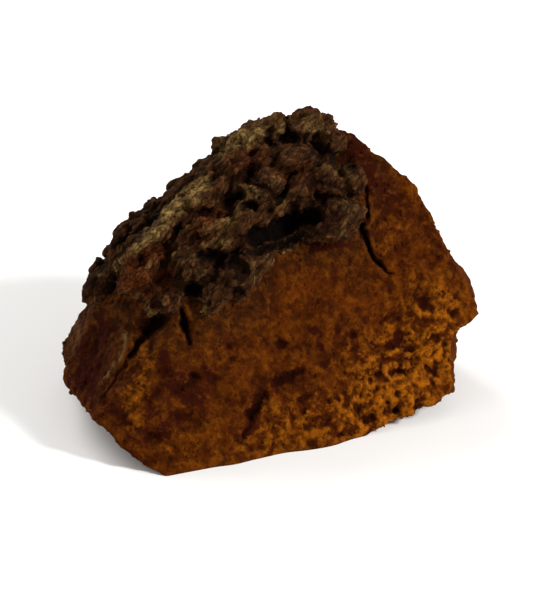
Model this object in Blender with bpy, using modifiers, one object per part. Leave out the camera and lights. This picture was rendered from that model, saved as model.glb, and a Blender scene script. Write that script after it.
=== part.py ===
"""A broken chunk of chaga: rust-brown corky flesh under a black crust of lumps.

The crust and the flesh grew together, so the chunk is one solid. Metres, +Z up. The origin is
the middle of the chunk's box, on the surface that it lies on, and its flesh face looks along -Y.
"""
import math

import bmesh
import bpy
from mathutils import Matrix, Vector, noise
from mathutils.bvhtree import BVHTree

MM = 0.001
NAME = "chaga_chunk"

# The heart is a point well inside the chunk. Every broken side and every crust side is a plane
# at a distance from it, facing a bearing round +Z and a rise over the level.
HEART = Vector((0.0, -0.95, 15.0)) * MM
SIDES = {
    "base": (0, -90, 15.6),
    "front": (-68, 24, 6.7),
    "front_left": (-102, 30, 11.7),
    "left": (-150, 30, 16.0),
    "left_end": (180, -5, 24.4),
    "under_left": (-156, -42, 24.3),
    "under_right": (-40, -62, 20.2),
    "right": (-8, -2, 21.4),
    "right_high": (28, 12, 19.0),
    "top_right": (49, 36, 17.4),
    "crust_left": (172, 30, 16.0),
    "crust_upper": (160, 50, 13.1),
    "crust_front": (-88, 50, 8.3),
    "crust_top": (-95, 78, 13.2),
    "crust_back": (100, 46, 15.9),
    "crust_back_left": (140, 30, 16.2),
    "back": (93, -4, 20.8),
    "back_left": (135, 2, 19.4),
    "back_right": (50, 5, 20.4),
}
# Where the break left a step, a second block with some sides moved stands proud of the first.
STEPS = (
    {"right": (-8, -2, 24.6), "right_high": (10, 27, 19.2), "right_low": (-14, -52, 18.0)},
    {"back": (93, -4, 22.6), "back_low": (100, -58, 9.0), "back_split": (20, 5, 5.0)},
)

# The crust is a cap round a pole. Its reach from the pole, in degrees, changes round the clock.
CRUST_POLE = (160, 55)
CRUST_REACH = (
    (-150, 73), (-120, 73), (-90, 71), (-60, 65), (-39, 65), (-22, 68), (-5, 76), (11, 84),
    (28, 72), (43, 58), (61, 62), (73, 68), (84, 82), (93, 88), (104, 84), (111, 72),
    (120, 60), (137, 58), (156, 74), (180, 74),
)
# Within this many degrees of its edge the crust has no lumps, and its warp dies away.
CRUST_EDGE = 4

# The large ridges of the crust as they are seen from the front: how far across and up, length,
# width and slant. Millimetres and degrees.
SIGHT_RISE = 27
SIGHT_ZERO = HEART + Vector((0.0, -20.0, -15.0)) * MM
RIDGES = (
    (-16.4, 27.9, 3.4, 2.8, 45), (-13.1, 30.7, 4.0, 3.0, 42), (-7.6, 35.2, 4.8, 3.2, 40),
    (-13.6, 26.4, 9.6, 2.4, 49), (-3.6, 36.6, 8.0, 3.2, 42), (0.8, 39.0, 3.6, 3.4, 80),
    (4.3, 39.0, 4.2, 4.0, 100), (7.4, 37.2, 3.0, 2.6, 120), (-7.4, 31.2, 6.4, 2.9, 43),
    (-7.1, 27.6, 4.4, 3.2, 30), (-3.3, 28.0, 3.8, 3.0, 50), (-0.5, 32.6, 5.0, 3.6, 35),
    (3.0, 35.0, 5.2, 3.2, 20), (6.4, 33.0, 5.2, 2.9, -12), (7.0, 29.2, 6.6, 4.6, 24),
    (-4.0, 23.0, 4.4, 3.8, 60), (-8.0, 23.0, 4.6, 3.4, 10), (-14.4, 22.6, 5.0, 3.2, 35),
    (-12.2, 19.8, 4.6, 2.2, 8), (-18.6, 22.6, 3.4, 2.8, 70), (-19.4, 25.4, 2.8, 2.4, 60),
    (9.2, 33.6, 3.4, 2.4, 80),
)
RIDGE_BULGE = 0.72
# The rest of the crust is a scatter of beans that lie along its grain: how many would go round
# the whole chunk, how far each strays, how clear it stays of the ridges, and its sizes.
CRUST_GRAIN = Vector((0.62, 0.3, 0.72))
GRAIN_SWAY = 3.0
LUMPS_ROUND = 520
LUMP_STRAY = 0.13
LUMP_CLEAR = 1.9
LUMP_WIDTH = (2.0, 3.6)
LUMP_STRETCH = (1.2, 2.3)
LUMP_BULGE = (0.4, 0.6)
# The scale of noise at which each direction has a cell, and so a draw, of its own.
OWN_CELL = 40.0

# Hollows of the front break: across, up, radius and depth.
DENTS = (
    (-12.0, 4.2, 2.2, 1.0), (-9.5, 7.0, 2.6, 1.2), (-7.0, 10.0, 2.6, 1.0), (1.6, 10.8, 2.6, 0.7),
    (-17.0, 12.0, 1.8, 1.0), (-15.6, 15.6, 1.8, 1.0), (-9.6, 17.2, 1.6, 0.8), (14.0, 16.5, 4.5, 0.7),
    (3.0, 20.0, 4.5, 0.6), (9.0, 9.5, 3.6, 0.6), (18.0, 11.0, 3.0, 0.6), (-1.0, 15.0, 3.0, 0.5),
    (-0.6, 26.6, 1.7, 2.0), (1.6, 28.2, 1.7, 2.4), (4.0, 29.8, 1.5, 1.8),
)
# Drying cracks of the front break: across, up, length, slant, width and depth.
CRACKS = (
    (11.6, 25.4, 7.6, -46, 0.7, 3.4),
    (-9.3, 16.6, 4.2, -76, 0.9, 2.6),
    (-1.8, 6.0, 5.4, 58, 0.7, 1.8),
    (-14.4, 16.6, 6.4, 49, 0.9, 2.2),
    (-17.2, 12.4, 6.0, 63, 0.8, 1.8),
)
# Nothing on it is straight: octaves of a warp, each a size and a reach, for the whole chunk
# and some more for its crust and its cracks.
CHUNK_WARP = ((12.0, 1.1), (4.4, 0.5))
CRUST_WARP = ((1.9, 0.42),)
CRACK_WARP = ((2.4, 0.5),)
SEED = 19
# The sides of the blocks that are cut down, and a distance that is clear of the chunk.
ROUGH_BLOCK = 100
FAR = 200
VOXEL = 0.42
SLIVER = 0.02
TRIANGLES = 10200


def facing(bearing, rise):
    """The unit vector that looks along a bearing and a rise, both in degrees."""
    turn, lift = math.radians(bearing), math.radians(rise)
    level = math.cos(lift)
    return Vector((math.cos(turn) * level, math.sin(turn) * level, math.sin(lift)))


def hewn_block(sides):
    """A block cut by one plane for each side."""
    block = bmesh.new()
    bmesh.ops.create_cube(block, size=ROUGH_BLOCK * MM, matrix=Matrix.Translation(HEART))
    for bearing, rise, distance in sides.values():
        outward = facing(bearing, rise)
        cut = bmesh.ops.bisect_plane(
            block,
            geom=block.verts[:] + block.edges[:] + block.faces[:],
            dist=1e-7,
            plane_co=HEART + outward * distance * MM,
            plane_no=outward,
            clear_outer=True,
        )
        rim = [part for part in cut["geom_cut"] if isinstance(part, bmesh.types.BMEdge)]
        bmesh.ops.edgenet_fill(block, edges=rim)
    bmesh.ops.recalc_face_normals(block, faces=block.faces[:])
    return block


def crust_reach(direction):
    """How far inside the crust's edge a direction from the heart points, in degrees."""
    pole = facing(*CRUST_POLE)
    level = Vector((0, 0, 1)).cross(pole).normalized()
    clock = math.degrees(math.atan2(direction.dot(pole.cross(level)), direction.dot(level)))
    before = CRUST_REACH[-1][0] - 360, CRUST_REACH[-1][1]
    for after in CRUST_REACH:
        if clock <= after[0]:
            break
        before = after
    share = (clock - before[0]) / (after[0] - before[0])
    reach = before[1] + (after[1] - before[1]) * share
    return reach - math.degrees(pole.angle(direction))


def sight_frame():
    """The directions across, up and towards the eye of the front view."""
    eye = facing(-90, SIGHT_RISE)
    across = Vector((1, 0, 0))
    return across, eye.cross(across), eye


def seen_on(tree, across_mm, up_mm):
    """The point of the surface, and its normal, that shows at a place of the front view."""
    across, up, eye = sight_frame()
    start = SIGHT_ZERO + across * across_mm * MM + up * up_mm * MM
    point, normal, _, _ = tree.ray_cast(start + eye * FAR * MM, -eye)
    return point, normal


def laid_frame(point, normal, along):
    """A matrix at a point, with X along the surface and Z out of it."""
    x = (along - normal * along.dot(normal)).normalized()
    y = normal.cross(x)
    return Matrix.Translation(point) @ Matrix((x, y, normal)).transposed().to_4x4()


def add_lump(mesh, frame, length, width, height):
    """A bean of the given size with its middle at the frame."""
    size = Matrix.Diagonal((length / 2 * MM, width / 2 * MM, height * MM, 1))
    bmesh.ops.create_icosphere(mesh, subdivisions=2, radius=1, matrix=frame @ size)


def add_ridges(mesh, tree):
    """The large ridges, and where they are."""
    across, up, _ = sight_frame()
    places = []
    for across_mm, up_mm, length, width, slant in RIDGES:
        point, normal = seen_on(tree, across_mm, up_mm)
        if point is None:
            continue
        turn = math.radians(slant)
        frame = laid_frame(point, normal, across * math.cos(turn) + up * math.sin(turn))
        add_lump(mesh, frame, length, width, width * RIDGE_BULGE)
        places.append(point)
    return places


def even_directions(count):
    """Directions spread evenly over the sphere, along a spiral."""
    golden = math.pi * (3 - math.sqrt(5))
    for step in range(count):
        z = 1 - 2 * (step + 0.5) / count
        level = math.sqrt(1 - z * z)
        yield Vector((math.cos(golden * step) * level, math.sin(golden * step) * level, z))


def between(limits, share):
    """The value at a share of the way from the first limit to the second."""
    return limits[0] + (limits[1] - limits[0]) * share


def add_scattered_lumps(mesh, tree, taken):
    """Lumps over the rest of the crust, clear of the large ridges."""
    middle = Vector((0.5, 0.5, 0.5))
    for spot in even_directions(LUMPS_ROUND):
        draw = noise.cell_vector(spot * OWN_CELL)
        stray = noise.cell_vector(spot * OWN_CELL + middle * OWN_CELL) - middle
        direction = (spot + stray * LUMP_STRAY).normalized()
        if crust_reach(direction) < CRUST_EDGE:
            continue
        point, normal, _, _ = tree.ray_cast(HEART + direction * FAR * MM, -direction)
        if any((point - place).length < LUMP_CLEAR * MM for place in taken):
            continue
        width = between(LUMP_WIDTH, draw.x)
        length = width * between(LUMP_STRETCH, draw.y)
        frame = laid_frame(point, normal, CRUST_GRAIN + noise.noise_vector(direction * GRAIN_SWAY))
        add_lump(mesh, frame, length, width, width * between(LUMP_BULGE, draw.z))


def joined_shells():
    """The block, its steps and the crust's lumps, each still a shell of its own."""
    block = hewn_block(SIDES)
    tree = BVHTree.FromBMesh(block)
    for moved in STEPS:
        step = hewn_block({**SIDES, **moved})
        spare = bpy.data.meshes.new("step")
        step.to_mesh(spare)
        block.from_mesh(spare)
        bpy.data.meshes.remove(spare)
        step.free()
    taken = add_ridges(block, tree)
    add_scattered_lumps(block, tree, taken)
    mesh = bpy.data.meshes.new(NAME)
    block.to_mesh(mesh)
    block.free()
    return mesh


def with_modifier(obj, kind, **settings):
    """Adds a modifier with these settings."""
    modifier = obj.modifiers.new(kind.title(), kind)
    for name, value in settings.items():
        setattr(modifier, name, value)


def as_seen(obj):
    """A new mesh of the object with its modifiers applied."""
    graph = bpy.context.evaluated_depsgraph_get()
    return bpy.data.meshes.new_from_object(obj.evaluated_get(graph))


def keep_outer_shell(mesh):
    """Fills the pockets that lumps close off, by dropping every shell but the largest."""
    shells = bmesh.new()
    shells.from_mesh(mesh)
    unseen = set(shells.verts)
    largest = set()
    while unseen:
        edge_of_search = [unseen.pop()]
        shell = set(edge_of_search)
        while edge_of_search:
            for edge in edge_of_search.pop().link_edges:
                for vertex in edge.verts:
                    if vertex not in shell:
                        shell.add(vertex)
                        edge_of_search.append(vertex)
        unseen -= shell
        largest = max(largest, shell, key=len)
    pockets = [vertex for vertex in shells.verts if vertex not in largest]
    bmesh.ops.delete(shells, geom=pockets, context="VERTS")
    shells.to_mesh(mesh)
    shells.free()


def warp(point, octaves):
    """How some octaves of noise move a point."""
    move = Vector()
    for size, reach in octaves:
        move += noise.noise_vector((point - HEART) / (size * MM)) * reach * MM
    return move


def dent_depth(point, places):
    """How far the front break is hollowed at a point."""
    depth = 0
    for place, radius, most in places:
        depth += most * MM * math.exp(-((point - place).length / (radius * MM)) ** 2)
    return depth


def weather(mesh):
    """Hollows the front break and warps the whole surface, the crust more than the flesh."""
    tree = BVHTree.FromPolygons(
        [vertex.co for vertex in mesh.vertices], [face.vertices for face in mesh.polygons]
    )
    eye = sight_frame()[2]
    dents = [(seen_on(tree, across, up)[0], radius, depth) for across, up, radius, depth in DENTS]
    for vertex in mesh.vertices:
        point = vertex.co.copy()
        crust = min(max(crust_reach(point - HEART) / CRUST_EDGE, 0), 1)
        vertex.co += warp(point, CHUNK_WARP) + warp(point, CRUST_WARP) * crust
        vertex.co -= eye * dent_depth(point, dents)


def crack_blades(obj):
    """The cutters of the drying cracks: a thin, bent lens for each."""
    tree = BVHTree.FromObject(obj, bpy.context.evaluated_depsgraph_get())
    across, up, _ = sight_frame()
    for across_mm, up_mm, length, slant, width, depth in CRACKS:
        point, normal = seen_on(tree, across_mm, up_mm)
        turn = math.radians(slant)
        frame = laid_frame(point, normal, across * math.cos(turn) + up * math.sin(turn))
        blade = bmesh.new()
        add_lump(blade, frame, length, width, depth)
        for vertex in blade.verts:
            vertex.co += warp(vertex.co, CRACK_WARP)
        mesh = bpy.data.meshes.new("crack_blade")
        blade.to_mesh(mesh)
        blade.free()
        yield bpy.data.objects.new("crack_blade", mesh)


def floor_block():
    """The cutter that gives the chunk the flat patch it lies on."""
    mesh = bpy.data.meshes.new("floor_block")
    block = bmesh.new()
    below = Matrix.Translation((0, 0, -ROUGH_BLOCK / 2 * MM))
    bmesh.ops.create_cube(block, size=ROUGH_BLOCK * MM, matrix=below)
    block.to_mesh(mesh)
    block.free()
    return bpy.data.objects.new("floor_block", mesh)


def cut_away(obj, cutter, cutters):
    """Takes the cutter's shape out of the object and puts the cutter with the others."""
    cutters.objects.link(cutter)
    cutter.hide_render = True
    cutter.display_type = "WIRE"
    with_modifier(obj, "BOOLEAN", operation="DIFFERENCE", object=cutter)


def chaga_material():
    """Dry chaga flesh, the colour that most of the chunk shows."""
    material = bpy.data.materials.new("chaga")
    material.use_nodes = True
    shader = material.node_tree.nodes["Principled BSDF"]
    shader.inputs["Base Color"].default_value = (0.16, 0.05, 0.008, 1)
    shader.inputs["Roughness"].default_value = 0.85
    shader.inputs["Metallic"].default_value = 0.0
    return material


def main():
    for obj in list(bpy.data.objects):
        bpy.data.objects.remove(obj)
    parts = bpy.data.collections.new("chaga mushroom")
    cutters = bpy.data.collections.new("cutters")
    for collection in (parts, cutters):
        bpy.context.scene.collection.children.link(collection)

    noise.seed_set(SEED)
    chunk = bpy.data.objects.new(NAME, joined_shells())
    parts.objects.link(chunk)
    with_modifier(chunk, "REMESH", mode="VOXEL", voxel_size=VOXEL * MM)
    chunk.data = as_seen(chunk)
    chunk.modifiers.clear()
    keep_outer_shell(chunk.data)
    weather(chunk.data)
    with_modifier(chunk, "TRIANGULATE")
    for blade in crack_blades(chunk):
        cut_away(chunk, blade, cutters)
    with_modifier(chunk, "WELD", merge_threshold=SLIVER * MM)
    with_modifier(chunk, "DECIMATE", ratio=TRIANGLES / len(as_seen(chunk).polygons))
    cut_away(chunk, floor_block(), cutters)
    with_modifier(chunk, "WELD", merge_threshold=SLIVER * MM)
    chunk.data.materials.clear()
    chunk.data.materials.append(chaga_material())


main()
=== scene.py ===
import math
from functools import partial

import bmesh
import bpy
import numpy as np
from mathutils import Matrix, Vector, noise
from mathutils.bvhtree import BVHTree


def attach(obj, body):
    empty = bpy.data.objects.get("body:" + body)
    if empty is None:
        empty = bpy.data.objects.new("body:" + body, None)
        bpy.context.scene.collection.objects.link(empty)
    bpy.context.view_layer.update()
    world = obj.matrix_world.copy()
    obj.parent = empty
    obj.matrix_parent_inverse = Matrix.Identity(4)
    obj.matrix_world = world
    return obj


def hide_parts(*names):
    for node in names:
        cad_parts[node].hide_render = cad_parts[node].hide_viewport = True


# A dried chunk of chaga on a pale floor. It is hewn again, at full detail, from the same sides,
# beans and cracks as its solid, so that the two agree. Metres, +Z up.

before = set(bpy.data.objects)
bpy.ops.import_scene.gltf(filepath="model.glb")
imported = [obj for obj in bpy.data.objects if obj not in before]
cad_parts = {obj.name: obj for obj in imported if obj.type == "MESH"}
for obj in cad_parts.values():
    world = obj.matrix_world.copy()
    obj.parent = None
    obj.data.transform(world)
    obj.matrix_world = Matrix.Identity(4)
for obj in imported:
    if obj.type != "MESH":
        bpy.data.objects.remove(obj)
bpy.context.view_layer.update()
mm = 0.001
far = 200 * mm  # clear of the chunk
roughSize = 100 * mm  # a cube that holds the chunk
ownCell = 40.0  # a scale of noise at which each direction has a cell of its own
grid = 6  # decimals of a metre that a remesh is rounded to
# laid lines: the radii at which they have faded, the room round them, how deep they mark
lineFade = 3
lineRoom = 2 * mm
lineDepth = 4 * mm
outwardRadius = 0.6  # mm over which the relief's outward direction is smoothed
wallShare = 0.3  # how far towards the heart a piece's wall goes
floorFade = (0.02, 0.9)  # mm over the floor in which the relief sets in

# The block: a plane for each broken or grown side, as bearing, rise and distance from the heart.
block = {
    "heart": Vector((0, -0.95, 15)) * mm,
    "seed": 19,
    "sides": {
        "base": (0, -90, 15.6), "front": (-68, 24, 6.7), "frontLeft": (-102, 30, 11.7),
        "left": (-150, 30, 16), "leftEnd": (180, -5, 24.4), "underLeft": (-156, -42, 24.3),
        "underRight": (-40, -62, 20.2), "right": (-8, -2, 21.4), "rightHigh": (28, 12, 19),
        "topRight": (49, 36, 17.4), "crustLeft": (172, 30, 16), "crustUpper": (160, 50, 13.1),
        "crustFront": (-88, 50, 8.3), "crustTop": (-95, 78, 13.2), "crustBack": (100, 46, 15.9),
        "crustBackLeft": (140, 30, 16.2), "back": (93, -4, 20.8), "backLeft": (135, 2, 19.4),
        "backRight": (50, 5, 20.4),
    },
    # steps of the break: the same block with some sides moved
    "steps": (
        {"right": (-8, -2, 24.6), "rightHigh": (10, 27, 19.2), "rightLow": (-14, -52, 18)},
        {"back": (93, -4, 22.6), "backLow": (100, -58, 9), "backSplit": (20, 5, 5)},
    ),
    "warp": ((12, 1.1), (4.4, 0.5)),  # octaves of a bend: size and reach, mm
}

# The front view that beans, hollows and cracks are placed in.
sight = {"rise": 27, "zero": block["heart"] + Vector((0, -20, -15)) * mm}

# The crust: a cap round a pole, with its reach in degrees round the clock, and beans on it.
crust = {
    "pole": (160, 55),
    "reach": (
        (-150, 73), (-120, 73), (-90, 71), (-60, 65), (-39, 65), (-22, 68), (-5, 76), (11, 84), (28, 72),
        (43, 58), (61, 62), (73, 68), (84, 82), (93, 88), (104, 84), (111, 72), (120, 60), (137, 58),
        (156, 74), (180, 74),
    ),
    # the beans that the front view shows: across, up, length, width, slant
    "ridges": (
        (-16.4, 27.9, 3.4, 2.8, 45), (-13.1, 30.7, 4, 3, 42), (-7.6, 35.2, 4.8, 3.2, 40),
        (-13.6, 26.4, 9.6, 2.4, 49), (-3.6, 36.6, 8, 3.2, 42), (0.8, 39, 3.6, 3.4, 80),
        (4.3, 39, 4.2, 4, 100), (7.4, 37.2, 3, 2.6, 120), (-7.4, 31.2, 6.4, 2.9, 43),
        (-7.1, 27.6, 4.4, 3.2, 30), (-3.3, 28, 3.8, 3, 50), (-0.5, 32.6, 5, 3.6, 35),
        (3, 35, 5.2, 3.2, 20), (6.4, 33, 5.2, 2.9, -12), (7, 29.2, 6.6, 4.6, 24), (-4, 23, 4.4, 3.8, 60),
        (-8, 23, 4.6, 3.4, 10), (-14.4, 22.6, 5, 3.2, 35), (-12.2, 19.8, 4.6, 2.2, 8),
        (-18.6, 22.6, 3.4, 2.8, 70), (-19.4, 25.4, 2.8, 2.4, 60), (9.2, 33.6, 3.4, 2.4, 80),
    ),
    "ridgeBulge": 0.72,
    "edge": 4,  # degrees in which it thins out
    # the scattered beans: how many would go round, how far they stray, how clear they stay
    "grain": Vector((0.62, 0.3, 0.72)),
    "grainSway": 3,
    "beansRound": 520,
    "beanStray": 0.13,
    "beanClear": 1.9,
    "beanWidth": (2, 3.6),
    "beanStretch": (1.2, 2.3),
    "beanBulge": (0.4, 0.6),
    "warp": ((1.9, 0.42),),
    "setIn": (1, 4),  # degrees inside its edge in which its relief sets in
    "beanGap": (0.25, 0.6),  # mm from a bean in which it ends
    # folds on the beans, as the front view shows them: the ends as across and up, then half
    # width and height, mm
    "folds": (
        (-17, 23.4, -13.6, 26.9, 0.8, 0.8), (-13.6, 26.9, -10.8, 30.4, 0.9, 0.9),
        (-10.8, 30.4, -8, 33.2, 1.2, 0.9), (-14.3, 28.9, -13.4, 30.4, 0.7, 0.7),
        (-16.3, 26.5, -15.4, 27, 0.6, 0.6), (-17.9, 23.9, -17.4, 26, 0.7, 0.7),
        (-19.6, 22.3, -19.2, 22.6, 0.6, 0.5), (-16.3, 20.6, -14.6, 23, 1.2, 0.7),
        (-13.9, 23.4, -12.4, 25.2, 1, 0.7), (-12.9, 21.3, -11.4, 19.4, 0.8, 0.7),
        (-11.5, 21.2, -11.2, 21.6, 0.6, 0.6), (-15.4, 19.3, -13.1, 18.3, 0.6, 0.6),
        (-9.8, 24.1, -8.2, 24.3, 0.8, 0.7), (-10.6, 23, -10.2, 23.1, 0.6, 0.5),
        (-7, 23.1, -6, 23.2, 0.6, 0.6), (-7.4, 21.6, -6.2, 21.7, 0.8, 0.6),
        (-3.6, 21.8, -3, 22, 0.7, 0.6), (-2.2, 22.4, -1.9, 24, 0.6, 0.6),
        (-8.1, 27.7, -4.5, 28.9, 0.7, 0.7), (-4.5, 28.9, -3, 31.5, 0.7, 0.7),
        (-7.4, 26, -6.3, 26.7, 1, 0.7), (-5.2, 25.9, -4.9, 26.9, 0.8, 0.6),
        (-3.9, 26.6, -3.6, 28.2, 0.7, 0.6), (-11.4, 28.4, -9.8, 29.2, 0.9, 0.7),
        (-10.4, 25.6, -9.8, 27, 0.7, 0.6), (-7.7, 34.6, -6.9, 35.4, 0.8, 0.6),
        (-5.9, 32.9, -4.7, 35.1, 0.9, 0.7), (-5.6, 35.5, -3.5, 38, 0.8, 0.8),
        (-3.5, 38, -1, 39.5, 0.7, 0.7), (-3.1, 36.7, -1.5, 37.3, 1, 0.6),
        (-2.2, 35.3, -0.4, 35, 0.8, 0.6), (-3.5, 34.1, -2.5, 34.9, 0.8, 0.6),
        (-0.4, 36.2, -0.3, 39, 0.6, 0.6), (1, 36.2, 0.8, 40.2, 0.6, 0.7), (2.5, 36.8, 2, 39.6, 0.6, 0.6),
        (3.7, 37.6, 3.4, 39.8, 0.7, 0.6), (1.7, 39.5, 2.6, 39.7, 1, 1.1), (4, 39.6, 4.9, 40.1, 0.9, 0.6),
        (-0.2, 33.8, 2.2, 33.2, 1.2, 0.6), (2, 35.3, 3.6, 34.8, 0.9, 0.6),
        (3.9, 33.1, 4.1, 34.4, 0.6, 0.6), (5, 34.8, 7.6, 34.3, 0.5, 0.5),
        (6.4, 33.9, 9.4, 33.2, 0.5, 0.5), (5.2, 32.9, 8, 32.4, 0.5, 0.5),
        (-2.8, 31.2, -1.9, 32.8, 1, 0.8), (-1.4, 32.2, -0.5, 31.3, 0.8, 0.6),
        (-1.9, 29.1, -0.8, 30.3, 0.8, 0.7), (0.5, 30.6, 1.6, 30.8, 1, 0.7),
        (7.3, 29.1, 8.6, 30.2, 0.8, 0.5),
    ),
    # folds that curl round a knob: the middle, radius, half width and height
    "curls": ((6.1, 37.8, 1.3, 0.6, 0.6), (8, 29.7, 2.3, 0.7, 0.7)),
    "curlSteps": 8,
    "curlFlat": 0.85,
    # the scattered folds
    "foldsRound": 1700,
    "foldEdge": 2,
    "foldSway": (5, 1.2),
    "foldStray": 0.1,
    "foldClear": 1.6,
    "foldLength": (0.9, 3.2),
    "foldWidth": (0.6, 1),
    "foldHeight": (0.4, 0.8),
    # crevices between the beans: the ends as across and up, then half width and depth, mm
    "crevices": (
        (-2.2, 27.2, 0.4, 27.4, 1, 1.3), (0.4, 27.4, 3, 29.2, 1.2, 1.6), (3, 29.2, 5.2, 30, 0.9, 1.4),
        (-8.8, 20.2, -8.2, 21.6, 0.9, 1.2), (-7.6, 24.8, -5, 24.4, 0.7, 0.8),
        (-4.2, 24.6, -2.6, 22.8, 0.6, 0.8), (-4.9, 31, -3.9, 31.5, 0.7, 1),
        (-18.2, 21, -18, 21.8, 0.7, 1), (-16.8, 19.6, -16.4, 19.4, 0.7, 0.9),
        (-15.1, 27.3, -12.3, 30.3, 0.35, 0.6), (-15.2, 23.8, -14.6, 24.3, 0.5, 0.5),
        (-12.8, 22.3, -12.2, 22.6, 0.5, 0.5), (-7.6, 30, -5.6, 29.4, 0.5, 0.5),
        (-2.6, 33.2, -0.6, 32.8, 0.4, 0.5), (5, 36.4, 9, 35.2, 0.7, 0.7), (0.2, 37, 0.2, 39.4, 0.3, 0.5),
        (-1.6, 25.6, 1.2, 26.3, 0.7, 1), (1.2, 26.3, 3.8, 27.4, 0.6, 0.9),
        (10.5, 32.8, 10.7, 29.8, 0.4, 0.8),
    ),
    "voxel": 0.175,
    "relief": {
        "Lump Size": 2.4, "Lump Depth": 0.2, "Fissure Size": 1.1, "Fissure Depth": 0.2,
        "Scale Size": 0.6, "Scale Depth": 0.11, "Stretch": 0.6, "Bend": 1.1, "Grain": 0.28,
    },
    # what stands up or lies low is sharpened by a share of its height, then smoothed, mm
    "heightRadius": 1.3,
    "sharpen": 0.3,
    "sharpenLimits": (-1, 0.3),
    "smoothing": 0.22,
    "keptShare": 0.5,
}

# The broken flesh: hollows as across, up, radius and depth, and cracks as the crevices are.
flesh = {
    "hollows": (
        (-12, 4.2, 2.2, 1), (-9.5, 7, 2.6, 1.2), (-7, 10, 2.6, 1), (1.6, 10.8, 2.6, 0.7),
        (-17, 12, 1.8, 1), (-15.6, 15.6, 1.8, 1), (-9.6, 17.2, 1.6, 0.8), (14, 16.5, 4.5, 0.7),
        (3, 20, 4.5, 0.6), (9, 9.5, 3.6, 0.6), (18, 11, 3, 0.6), (-1, 15, 3, 0.5), (-0.6, 26.6, 1.7, 2),
        (1.6, 28.2, 1.7, 2.4), (4, 29.8, 1.5, 1.8),
        # the first two are swells, which stand out
        (-13.6, 9.4, 3.4, -0.8), (-12.4, 13.4, 2.6, -0.6), (-19.6, 13, 2.6, 0.9), (-20.6, 16, 2.2, 0.6),
    ),
    "cracks": (
        (-12.9, 18.3, -14.5, 16.6, 0.6, 2.4), (-14.5, 16.6, -16.3, 13.6, 0.3, 1.2),
        (-16.3, 13.6, -18.5, 9.4, 0.2, 0.5), (-10.1, 18.8, -9.5, 16.8, 0.34, 1.7),
        (-9.5, 16.8, -8.8, 15, 0.24, 0.9), (10, 29.2, 11.5, 26.4, 0.3, 2),
        (11.5, 26.4, 12.8, 24.4, 0.24, 1.3), (12.8, 24.4, 13.8, 23.3, 0.18, 0.7),
        (-1.2, 9, -2.6, 7, 0.45, 0.9), (-2.6, 7, -3.6, 4.9, 0.3, 0.6), (0.7, 10.4, 3.3, 12, 0.45, 0.4),
        (-10.6, 9.4, -8.1, 10.7, 0.5, 0.45),
    ),
    # pits and notches that the relief sinks along the surface's own direction
    "pits": (
        (9.3, 16.1, 0.8, 0.6), (7.6, 16.8, 0.7, 0.4), (13.4, 18.3, 0.7, 0.5), (13.9, 15, 0.8, 0.6),
        (15.4, 15, 0.6, 0.5), (17.4, 19.6, 0.8, 0.6), (21, 18.6, 0.6, 0.4), (18.4, 11.5, 0.8, 0.6),
        (12.4, 11.5, 0.8, 0.6), (1.3, 10.6, 0.7, 0.5), (3.8, 9, 0.9, 0.5), (-2.7, 7, 0.6, 0.4),
        (2, 14.8, 0.6, 0.4), (-4.4, 14.5, 0.5, 0.5), (-4.3, 13, 0.5, 0.4), (-9.6, 9.2, 1.2, 0.5),
        (-8.1, 10.5, 0.9, 0.4), (-12.6, 9.5, 1.2, 0.4), (-13.1, 4.9, 1.1, 0.5), (-10.1, 6.7, 1.3, 0.4),
        (-11.9, 12.3, 0.8, 0.4), (6.3, 12.8, 0.7, 0.4), (10.2, 7.6, 0.7, 0.5), (6, 6.3, 0.8, 0.4),
        (7.6, 4.4, 0.7, 0.6), (10.9, 6, 0.7, 0.6), (13.9, 7, 0.6, 0.7), (16.9, 7.2, 0.6, 0.6),
        (19.2, 8, 0.6, 0.6), (4.3, 3.2, 0.6, 0.6),
    ),
    # under the crust it sinks towards the heart in these degrees by a share, and then ends
    "sinkIn": (3, 6),
    "sink": 0.2,
    "end": 9,
    "voxel": 0.23,
    "heightRadius": 0.9,
    "relief": {
        "Wave Size": 2.8, "Wave Depth": 1.4, "Crumb Size": 1.15, "Crumb Depth": 0.6,
        "Pit Size": 1.9, "Pit Depth": 0.35, "Grain": 0.3,
    },
}
crackJag = ((1.3, 0.32), (0.5, 0.14))


def facing(bearing, rise):
    turn, lift = math.radians(bearing), math.radians(rise)
    level = math.cos(lift)
    return Vector((math.cos(turn) * level, math.sin(turn) * level, math.sin(lift)))


# a rough cube cut along the plane of each side
def hewnBlock(sides):
    made = bmesh.new()
    bmesh.ops.create_cube(made, size=roughSize, matrix=Matrix.Translation(block["heart"]))
    for bearing, rise, distance in sides.values():
        outward = facing(bearing, rise)
        everything = made.verts[:] + made.edges[:] + made.faces[:]
        cut = bmesh.ops.bisect_plane(
            made, geom=everything, dist=1e-7, plane_no=outward, clear_outer=True,
            plane_co=block["heart"] + outward * distance * mm,
        )
        rim = [part for part in cut["geom_cut"] if isinstance(part, bmesh.types.BMEdge)]
        bmesh.ops.edgenet_fill(made, edges=rim)
    bmesh.ops.recalc_face_normals(made, faces=made.faces[:])
    return made


# how far inside the crust's edge each point lies, in degrees seen from the heart
def crustReach(points):
    rays = np.asarray(points, dtype=float).reshape(-1, 3) - block["heart"]
    rays /= np.linalg.norm(rays, axis=1)[:, None]
    pole = facing(*crust["pole"])
    level = Vector((0, 0, 1)).cross(pole).normalized()
    clock = np.degrees(np.arctan2(rays @ pole.cross(level), rays @ level))
    hours, reaches = zip(*crust["reach"])
    away = np.degrees(np.arccos(np.clip(rays @ pole, -1, 1)))
    return np.interp(clock, hours, reaches, period=360) - away


def sightFrame():
    eye = facing(-90, sight["rise"])
    across = Vector((1, 0, 0))
    return across, eye.cross(across), eye


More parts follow.
